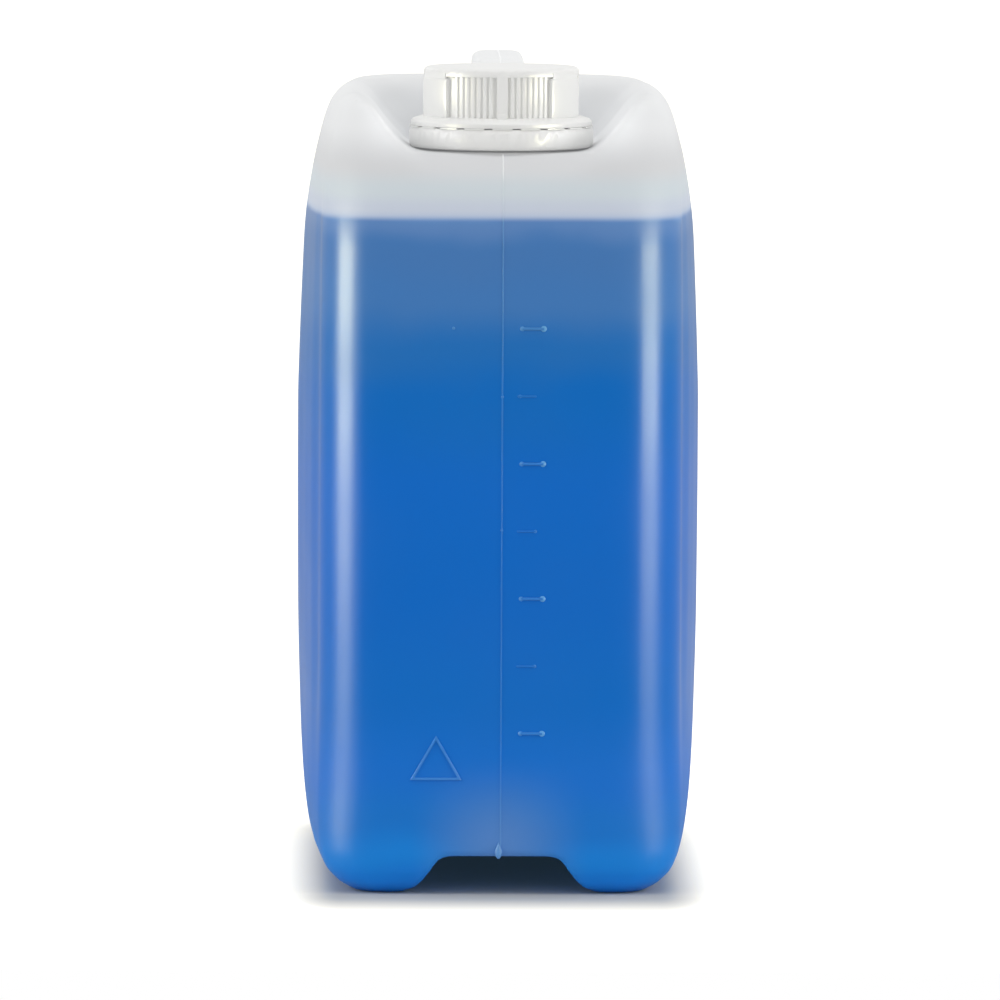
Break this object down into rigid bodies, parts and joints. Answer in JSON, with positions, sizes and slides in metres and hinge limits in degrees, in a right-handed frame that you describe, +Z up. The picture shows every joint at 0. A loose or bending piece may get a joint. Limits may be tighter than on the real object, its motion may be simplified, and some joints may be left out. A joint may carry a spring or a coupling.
{
  "type": "detergent jerrycan",
  "caption": "Upright stacking can of translucent plastic, full of blue car wash liquid, with a ribbed screw cap, a tamper ring and a hollow handle moulded into its top.",
  "frame": {"origin": "centre of the bounding box at the level of the feet", "axes": "+Z up, -Y out of the front face under the cap, +X to the right of someone who looks at that face"},
  "size_m": [0.13, 0.19, 0.2626],
  "materials": {
    "can_plastic": "natural translucent, satin",
    "blue_liquid": "clear blue liquid",
    "ring_plastic": "white, satin",
    "liner_foam": "foam sheet",
    "cap_plastic": "white, satin"
  },
  "bodies": {
    "jug": {"jug_body": "can_plastic", "detergent": "blue_liquid", "tamper_ring": "ring_plastic"},
    "cap_liner": {"cap_liner": "liner_foam"},
    "cap": {"screw_cap": "cap_plastic"}
  },
  "joints": [
    {"name": "cap_lift", "type": "slide", "parent": "jug", "child": "cap_liner", "axis": [0, 0, 1], "range_m": [0, 0.0281]},
    {"name": "cap_turn", "type": "hinge", "parent": "cap_liner", "child": "cap", "pos_m": [0, -0.048, 0.25], "axis": [0, 0, 1], "range_deg": [0, 2520]}
  ],
  "couplings": [
    {"joint": "cap_lift", "follows": "cap_turn", "m_per_rad": 0.00063662}
  ]
}
